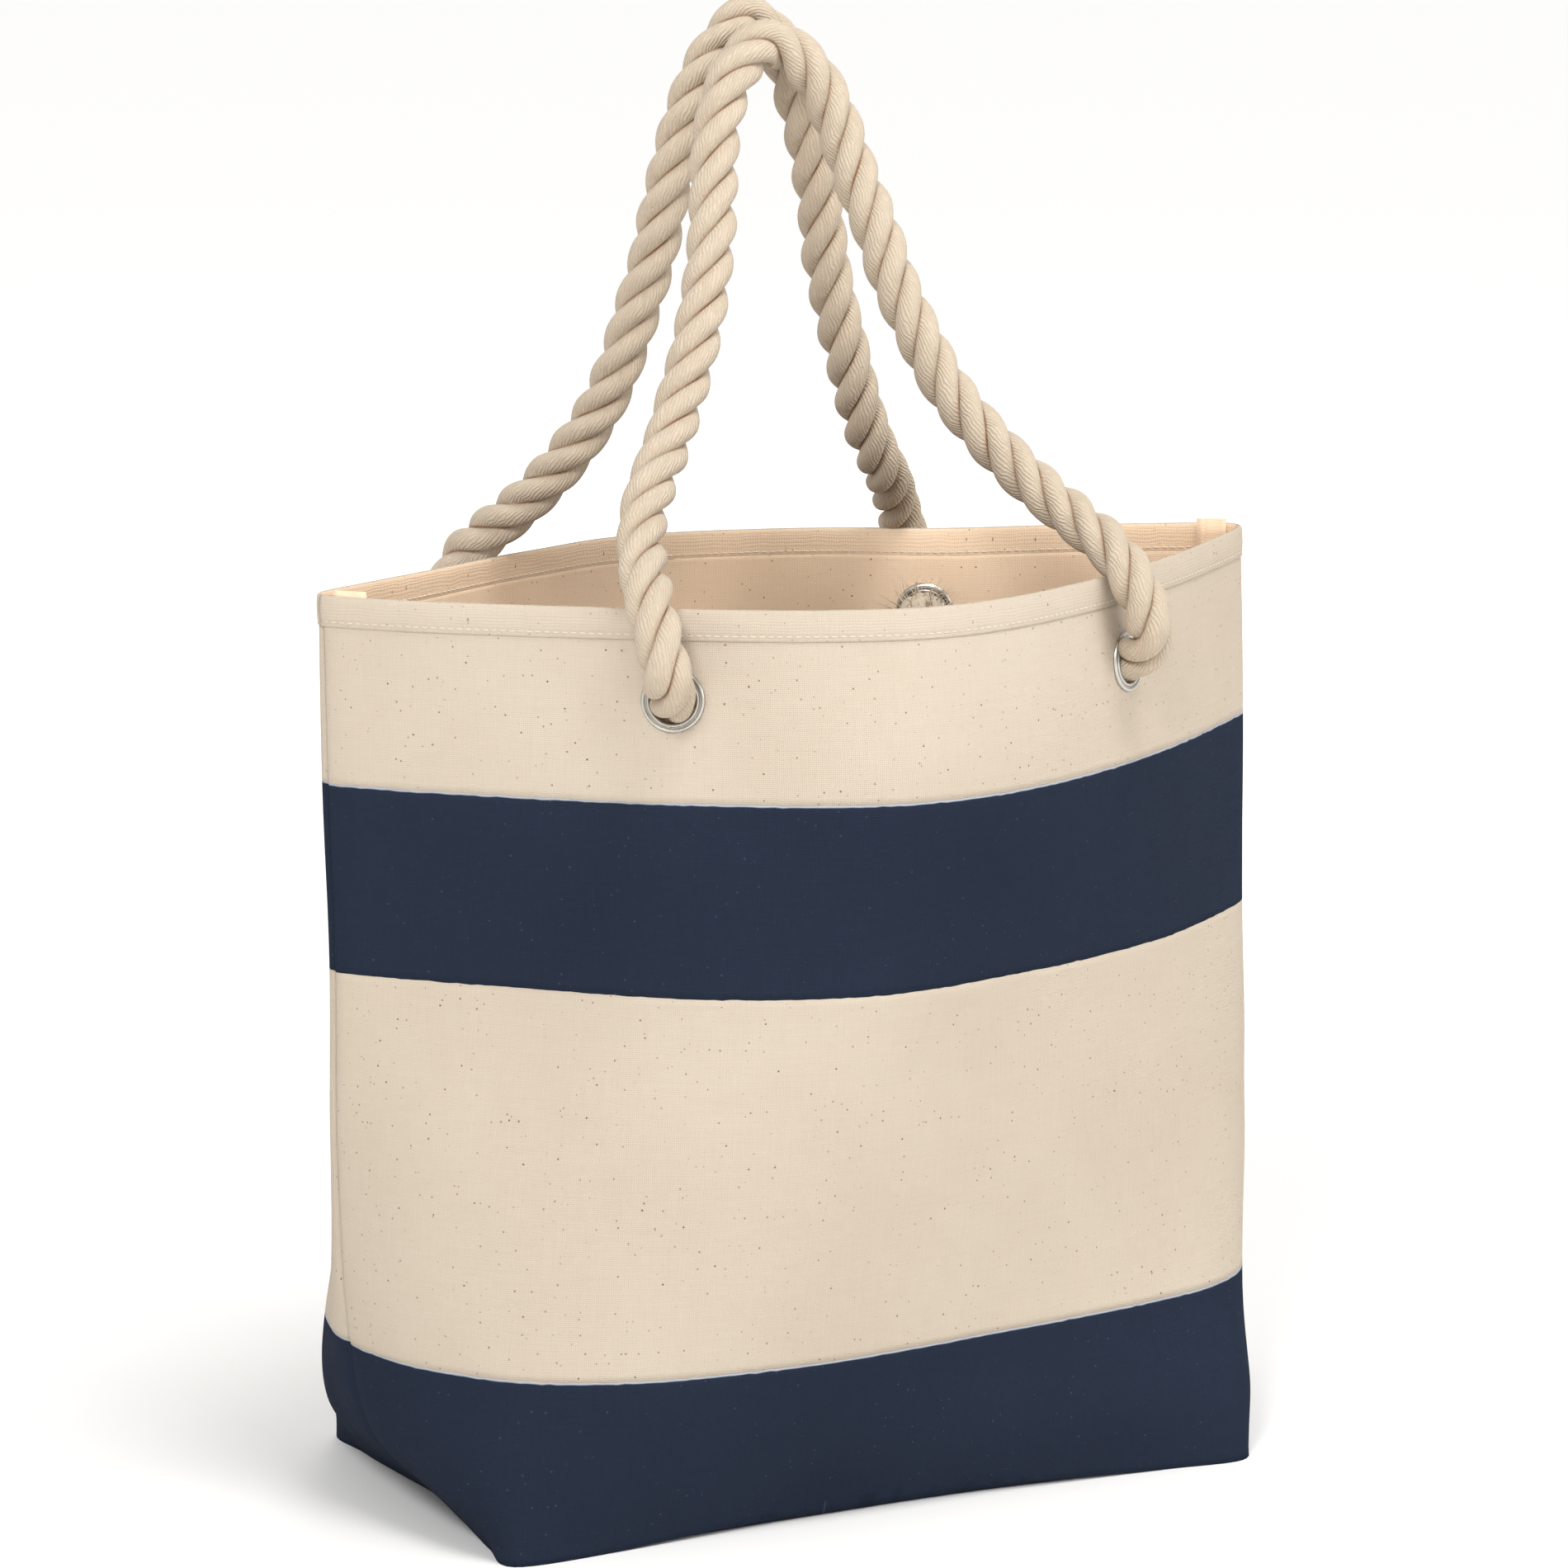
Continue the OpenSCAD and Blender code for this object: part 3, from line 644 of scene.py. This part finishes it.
def canvas_cloth(name, ground, shade, speck, speck_share, pale_top, shine):
    """Plain-weave cotton canvas: round threads over and under each other, about
    twelve to the centimetre, with slubs, seed flecks and slow changes of tone."""
    material, tree, shader, output = new_material(name)
    where = add(tree, "TexCoord")
    uv = add(tree, "UVMap", uv_map="weave")
    split = add(tree, "SeparateXYZ", {0: uv.outputs[0]})
    thread = 0.8 * MM
    wobble = add(tree, "TexNoise", {"Vector": uv.outputs[0], "Scale": 90, "Detail": 2})
    shift = maths(tree, "MULTIPLY", wobble.outputs[0], 5)
    sx = maths(tree, "SINE", maths(tree, "ADD", maths(tree, "MULTIPLY", split.outputs[0], math.pi / thread), shift))
    sy = maths(tree, "SINE", maths(tree, "ADD", maths(tree, "MULTIPLY", split.outputs[1], math.pi / thread), shift))
    over = maths(tree, "MULTIPLY_ADD", maths(tree, "MULTIPLY", sx, sy), 3.0, clamp=True)
    tree.nodes[-1].inputs[2].default_value = 0.5
    bump_height = add(tree, "Mix", {0: over, 2: maths(tree, "ABSOLUTE", sy),
                                    3: maths(tree, "ABSOLUTE", sx)}).outputs[0]
    warp = add(tree, "Mapping", {"Vector": uv.outputs[0], "Scale": (900, 45, 1)})
    weft = add(tree, "Mapping", {"Vector": uv.outputs[0], "Scale": (38, 800, 1)})
    slub_a = add(tree, "TexNoise", {"Vector": warp.outputs[0], "Scale": 1, "Detail": 2})
    slub_b = add(tree, "TexNoise", {"Vector": weft.outputs[0], "Scale": 1, "Detail": 2})
    slub = maths(tree, "MULTIPLY", maths(tree, "ADD", slub_a.outputs[0], slub_b.outputs[0]), 0.5)
    tone = add(tree, "TexNoise", {"Vector": where.outputs["Object"], "Scale": 9, "Detail": 4})
    mixed = maths(tree, "ADD", maths(tree, "MULTIPLY", slub, 0.4), maths(tree, "MULTIPLY", tone.outputs[0], 0.6))
    level = add(tree, "MapRange", {0: mixed, 1: 0.30, 2: 0.70, 3: 0.0, 4: 1.0})
    base = add(tree, "MixRGB", {0: level.outputs[0], 1: colour(shade), 2: colour(ground)})
    # Painted shade in the weave's hollows, where each thread dips under the next
    weave_hollow_shade = add(tree, "MapRange", {0: bump_height, 1: 0.0, 2: 0.8, 3: 0.4, 4: 0.0})
    woven = add(tree, "MixRGB", {0: weave_hollow_shade.outputs[0], 1: base.outputs[0], 2: colour(shade)},
                blend_type="MULTIPLY")
    # Seed flecks about half a millimetre wide, thinly scattered
    fleck = add(tree, "TexVoronoi", {"Vector": uv.outputs[0], "Scale": 300, "Randomness": 1.0})
    spot = add(tree, "MapRange", {0: fleck.outputs["Distance"], 1: 0.07, 2: 0.16, 3: 1.0, 4: 0.0})
    pick = add(tree, "SeparateColor", {0: fleck.outputs["Color"]})
    few = maths(tree, "LESS_THAN", pick.outputs[0], speck_share)
    strength = maths(tree, "MULTIPLY", maths(tree, "MULTIPLY", spot.outputs[0], few), pick.outputs[1])
    flecked = add(tree, "MixRGB", {0: strength, 1: woven.outputs[0], 2: colour(speck)})
    last = flecked.outputs[0]
    if pale_top:
        # The dye stops a thread short of the next band
        short = add(tree, "MapRange", {0: split.outputs[1], 1: pale_top - 0.9 * MM,
                                       2: pale_top - 0.4 * MM, 3: 0.0, 4: 0.85})
        last = add(tree, "MixRGB", {0: short.outputs[0], 1: last, 2: colour("#B4BAC6")}).outputs[0]
    tree.links.new(last, shader.inputs["Base Color"])
    fuzz = add(tree, "TexNoise", {"Vector": uv.outputs[0], "Scale": 1500, "Detail": 3})
    height = maths(tree, "ADD", maths(tree, "ADD", bump_height, maths(tree, "MULTIPLY", slub, 0.8)),
                   maths(tree, "MULTIPLY", fuzz.outputs[0], 0.3))
    bump = add(tree, "Bump", {"Height": height, "Strength": 0.6, "Distance": 0.25 * MM})
    tree.links.new(bump.outputs[0], shader.inputs["Normal"])
    shader.inputs["Roughness"].default_value = 0.97
    shader.inputs["Specular IOR Level"].default_value = shine
    return material


natural_canvas = canvas_cloth("natural_cotton_canvas", "#CCC0B0", "#C2B4A2", "#64462C", 0.8, None, 0.15)
# The inside is a brighter, warmer copy of the natural canvas: painted bounce light inside the bag
natural_inside_painted_bounce = canvas_cloth("natural_cotton_canvas_inside", "#F5DDC2", "#EDD1B2", "#7A5636", 0.75, None, 0.15)
navy_stripe = canvas_cloth("navy_cotton_canvas", "#293141", "#242B39", "#3D475A", 0.5,
                           BAND_EDGES["stripe"], 0.05)
navy_base = canvas_cloth("navy_cotton_canvas_base", "#283040", "#232A38", "#3D475A", 0.5,
                         BAND_EDGES["base"], 0.05)
navy_inside = canvas_cloth("navy_cotton_canvas_inside", "#3A4254", "#2E3546", "#5C6880", 0.35, None, 0.05)


def thickened(piece):
    """Gives the cloth its thickness, inwards, with the inside face's colour."""
    solid = piece.modifiers.new("thickness", "SOLIDIFY")
    solid.thickness = CANVAS_T
    solid.offset = -1
    solid.use_even_offset = True
    solid.material_offset = 1
    return piece


def canvas_band(side, band, low, high, outside, inside):
    cloth = woven_panel(side, low, high, True, band != "top")
    if band == "top":
        punch_holes(cloth, side)
    smooth_shaded(cloth)
    bmesh.ops.recalc_face_normals(cloth, faces=cloth.faces)
    face = min(cloth.faces, key=lambda f: (f.calc_center_median() - Vector((0, 0, low))).length)
    if face.normal.dot(Vector((face.calc_center_median().x, face.calc_center_median().y, 0))) < 0:
        bmesh.ops.reverse_faces(cloth, faces=cloth.faces)
    name = f"{side}_{band}"
    node = name if band == "stripe" else name + "_band"
    piece = new_piece(node + "_cloth", cloth, [outside, inside], "bag", [node])
    thickened(piece)
    return piece


for side in ("front", "back"):
    canvas_band(side, "middle", BAND_EDGES["base"], BAND_EDGES["middle"], natural_canvas,
                natural_inside_painted_bounce)
    canvas_band(side, "stripe", BAND_EDGES["middle"], BAND_EDGES["stripe"], navy_stripe,
                navy_inside)
    # The top band runs on a little way into the hem
    canvas_band(side, "top", BAND_EDGES["stripe"], HEM_Z + 2 * MM, natural_canvas,
                natural_inside_painted_bounce)

# ----------------------------------------------------------------- base canvas
# The navy foot of both panels and the bag's bottom are one cloth, boxed at the
# ends so that the bag stands up.


def base_cloth():
    cloth = woven_panel("front", 0, BAND_EDGES["base"], False, True)
    back = woven_panel("back", 0, BAND_EDGES["base"], False, True)
    spare = bpy.data.meshes.new("spare")
    back.to_mesh(spare)
    back.free()
    cloth.from_mesh(spare)
    bpy.data.meshes.remove(spare)
    bmesh.ops.remove_doubles(cloth, verts=cloth.verts, dist=0.3 * MM)
    weave = cloth.loops.layers.uv["weave"]
    floor = [e for e in cloth.edges if e.is_boundary and max(v.co.z for v in e.verts) < 15 * MM]
    middle = Vector((-6 * MM, -4 * MM, 0))
    for inset, drop in ((0.985, 0.6), (0.95, 0.1), (0.86, 0.0), (0.6, 0.0), (0.3, 0.0)):
        made = bmesh.ops.extrude_edge_only(cloth, edges=floor)["geom"]
        verts = [g for g in made if isinstance(g, bmesh.types.BMVert)]
        floor = [g for g in made if isinstance(g, bmesh.types.BMEdge) and all(v in verts for v in g.verts)]
        reach = inset / getattr(base_cloth, "last", 1.0)
        base_cloth.last = inset
        for vert in verts:
            vert.co = Vector((middle.x + (vert.co.x - middle.x) * reach,
                              middle.y + (vert.co.y - middle.y) * reach, vert.co.z * drop))
    bmesh.ops.holes_fill(cloth, edges=floor, sides=0)
    bmesh.ops.triangulate(cloth, faces=[f for f in cloth.faces if len(f.verts) > 4])
    for face in cloth.faces:
        if max(v.co.z for v in face.verts) < 4 * MM and abs(face.normal.z) > 0.7:
            for loop in face.loops:
                loop[weave].uv = (loop.vert.co.x, loop.vert.co.y - 0.3)
    smooth_shaded(cloth)
    bmesh.ops.recalc_face_normals(cloth, faces=cloth.faces)
    lowest = min(cloth.faces, key=lambda f: f.calc_center_median().z + abs(f.calc_center_median().x))
    if lowest.normal.z > 0:
        bmesh.ops.reverse_faces(cloth, faces=cloth.faces)
    piece = new_piece("base_canvas_cloth", cloth, [navy_base, navy_inside], "bag",
                      ["base_canvas"])
    thickened(piece)
    return piece


base_cloth()

# -------------------------------------------------------------------- rim hem
# The top edge is turned over twice and stitched: a rounded fold at the rim and
# a raised lower edge on the outside.

# Section of the hem, millimetres: outwards from the skin, height above its foot
HEM_SECTION = [(-0.6, 0.0), (0.2, 0.0), (0.6, 0.3), (0.6, 1.3), (0.42, 2.2), (0.66, 3.2),
               (0.85, 6.0), (0.85, 9.0), (0.7, 11.0), (0.2, 12.1), (-0.4, 12.6), (-1.1, 12.2),
               (-1.5, 11.0), (-1.6, 8.0), (-1.55, 4.0), (-1.45, 2.2), (-1.5, 1.0), (-1.2, 0.0)]


def hem(side):
    rows = len(HEM_SECTION)
    fold = bmesh.new()
    bmesh.ops.create_grid(fold, x_segments=COLUMNS, y_segments=rows, size=0.5, calc_uvs=False)
    weave = fold.loops.layers.uv.new("weave")
    girth = 34 * MM
    for face in fold.faces:
        face.material_index = int(face.calc_center_median().y + 0.5 > 11.0 / rows)
        for loop in face.loops:
            loop[weave].uv = ((loop.vert.co.x + 0.5) * PANEL_W, HEM_Z + (loop.vert.co.y + 0.5) * girth)
    for vert in fold.verts:
        column, k = round((vert.co.x + 0.5) * COLUMNS), round((vert.co.y + 0.5) * rows) % rows
        off, up = HEM_SECTION[k]
        swell = 1 + 0.25 * noise.noise(Vector((column * 0.11, k * 0.3, 2)))
        place = skin_point(side, column, HEM_Z + up * MM, 0)
        vert.co = place + out_of(side, column, HEM_Z) * (off * swell if off > 0 else off) * MM
    bmesh.ops.remove_doubles(fold, verts=fold.verts, dist=0.02 * MM)
    bmesh.ops.holes_fill(fold, edges=[e for e in fold.edges if e.is_boundary], sides=0)
    smooth_shaded(fold)
    bmesh.ops.recalc_face_normals(fold, faces=fold.faces)
    return new_piece(side + "_rim_hem_fold", fold, [natural_canvas, natural_inside_painted_bounce], "bag",
                     [side + "_rim_hem"])


for side in ("front", "back"):
    hem(side)

# -------------------------------------------------------------- hem stitching
# One row of lockstitch in cream polyester thread, 2.2 mm above the hem's lower
# edge. It shows outside as short stitches that sink in at each hole.

STITCH_L = 2.7 * MM
STITCH_GAP = 0.9 * MM


def stitch_thread():
    """Spun polyester thread: cream, slightly glossy, with its two-ply twist."""
    material, tree, shader, output = new_material("cream_polyester_thread")
    where = add(tree, "TexCoord")
    ply = add(tree, "TexNoise", {"Vector": where.outputs["Object"], "Scale": 2500, "Detail": 2})
    tint = add(tree, "MixRGB", {0: ply.outputs[0], 1: colour("#CFC2AF"), 2: colour("#DED3C2")})
    tree.links.new(tint.outputs[0], shader.inputs["Base Color"])
    bump = add(tree, "Bump", {"Height": ply.outputs[0], "Strength": 0.4, "Distance": 0.1 * MM})
    tree.links.new(bump.outputs[0], shader.inputs["Normal"])
    shader.inputs["Roughness"].default_value = 0.6
    return material


thread = stitch_thread()


def stitching(side):
    row = bmesh.new()
    for off in (0.62, -1.6):
        line = [skin_point(side, c, HEM_Z + 2.2 * MM) + out_of(side, c, HEM_Z) * off * MM
                for c in range(1, COLUMNS)]
        points, length = evenly(line, STITCH_L + STITCH_GAP)
        for a, b in zip(points, points[1:]):
            middle, reach = (a + b) / 2, (b - a).normalized()
            turn = reach.to_track_quat("Z", "Y").to_matrix().to_4x4()
            bmesh.ops.create_uvsphere(
                row, u_segments=6, v_segments=5, radius=1,
                matrix=Matrix.Translation(middle) @ turn
                @ Matrix.Diagonal((0.3 * MM, 0.3 * MM, STITCH_L / 2, 1)))
    smooth_shaded(row)
    return new_piece(side + "_hem_stitches", row, [thread], "bag",
                     [side + "_hem_stitching"])


for side in ("front", "back"):
    stitching(side)

# -------------------------------------------------------------- seams, inside
# The panels' raw edges are overlocked together and lie folded to one side of
# each side seam. The boxed ends of the base have the same edge on the floor.


def overlocked_strip(name, node, corners, thick, cloth):
    """A strip between two edges, with the rounded loops of overlocking on its edge."""
    strip = bmesh.new()
    rows, cols = len(corners), len(corners[0])
    bmesh.ops.create_grid(strip, x_segments=cols - 1, y_segments=rows - 1, size=0.5, calc_uvs=False)
    weave = strip.loops.layers.uv.new("weave")
    for vert in strip.verts:
        c, r = round((vert.co.x + 0.5) * (cols - 1)), round((vert.co.y + 0.5) * (rows - 1))
        vert.co = corners[r][c]
    for face in strip.faces:
        for loop in face.loops:
            loop[weave].uv = (loop.vert.co.x + loop.vert.co.y, loop.vert.co.z)
    smooth_shaded(strip)
    bmesh.ops.recalc_face_normals(strip, faces=strip.faces)
    piece = new_piece(name, strip, [cloth], "bag", [node])
    solid = piece.modifiers.new("thickness", "SOLIDIFY")
    solid.thickness = thick
    solid.offset = 0
    return piece


def side_seam(name, side, first):
    """The allowance lies against the panel, from the floor to the hem."""
    count = 56
    rows = []
    for k in range(count + 1):
        z = 5 * MM + (RIM_Z - 3 * MM) * k / count
        row = []
        for c in (2, 3, 4, 5, 6, 7):
            column = c if first else COLUMNS - c
            curl = (c - 2) * 0.12 + 0.35 * (k % 2) * (c == 7)
            row.append(skin_point(side, column, z) - out_of(side, column, z) * (2.9 + curl) * MM)
        rows.append(row)
    return overlocked_strip(name + "_overlock", name, rows, 1.6 * MM, natural_inside_painted_bounce)


side_seam("left_side_seam", "front", True)
side_seam("right_side_seam", "back", True)

for node, side_sign in (("left_base_seam", -1), ("right_base_seam", 1)):
    low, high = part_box(node)
    count = 48
    rows = []
    for k in range(count + 1):
        y = low.y + (high.y - low.y) * k / count
        ripple = 0.4 * math.sin(k * 0.9) * MM
        rows.append([Vector((low.x + (high.x - low.x) * c / 5 + ripple * c / 5, y,
                             2.9 * MM + 0.35 * (k % 2) * (c == 5) * MM)) for c in range(6)])
    overlocked_strip(node + "_overlock", node, rows, 1.6 * MM, navy_inside)

# ------------------------------------------------------------ floor and light
# A plain pale floor and four soft lamps.

floor = bmesh.new()
bmesh.ops.create_grid(floor, x_segments=2, y_segments=2, size=40)
floor_mesh = bpy.data.meshes.new("floor")
floor.to_mesh(floor_mesh)
floor.free()
floor_piece = bpy.data.objects.new("floor", floor_mesh)
bpy.context.scene.collection.objects.link(floor_piece)
floor_paint, floor_tree, floor_shader, floor_out = new_material("pale_matt_floor")
floor_shader.inputs["Base Color"].default_value = colour("#F4F3F1")
floor_shader.inputs["Roughness"].default_value = 0.9
# Painted light: the floor glows more further out, so that it runs into the white background
floor_place = add(floor_tree, "TexCoord")
floor_reach = add(floor_tree, "VectorMath", {0: floor_place.outputs["Object"]}, operation="LENGTH")
floor_glow = add(floor_tree, "MapRange", {0: floor_reach.outputs["Value"], 1: 0.5, 2: 2.4, 3: 0.0, 4: 0.45})
floor_tree.links.new(floor_glow.outputs[0], floor_shader.inputs["Emission Strength"])
floor_shader.inputs["Emission Color"].default_value = (1, 1, 1, 1)
floor_mesh.materials.append(floor_paint)

world = bpy.data.worlds.new("studio")
bpy.context.scene.world = world
world.use_nodes = True
sky = world.node_tree
sky.nodes["Background"].inputs[0].default_value = (1, 1, 1, 1)
sky_way = add(sky, "SeparateXYZ", {0: add(sky, "TexCoord").outputs["Generated"]})
sky_light = add(sky, "MapRange", {0: sky_way.outputs[2], 1: 0.06, 2: 0.4, 3: 0.97, 4: 0.55})
sky.links.new(sky_light.outputs[0], sky.nodes["Background"].inputs[1])


def soft_lamp(name, place, aim, size, power):
    lamp = bpy.data.lights.new(name, "AREA")
    lamp.shape = "DISK"
    lamp.size = size
    lamp.energy = power
    holder = bpy.data.objects.new(name, lamp)
    holder.location = place
    holder.rotation_euler = (Vector(aim) - Vector(place)).to_track_quat("-Z", "Y").to_euler()
    bpy.context.scene.collection.objects.link(holder)


soft_lamp("key", (-1.7, -2.0, 2.2), (0, 0, 0.25), 0.9, 50)
soft_lamp("fill", (2.2, -2.2, 1.3), (0, 0, 0.25), 1.6, 24)
soft_lamp("back", (1.4, 2.6, 1.7), (0, 0, 0.25), 1.6, 20)
soft_lamp("top", (0.3, -0.9, 2.7), (0, 0, 0.3), 1.2, 34)
bpy.context.scene.view_settings.view_transform = "Standard"
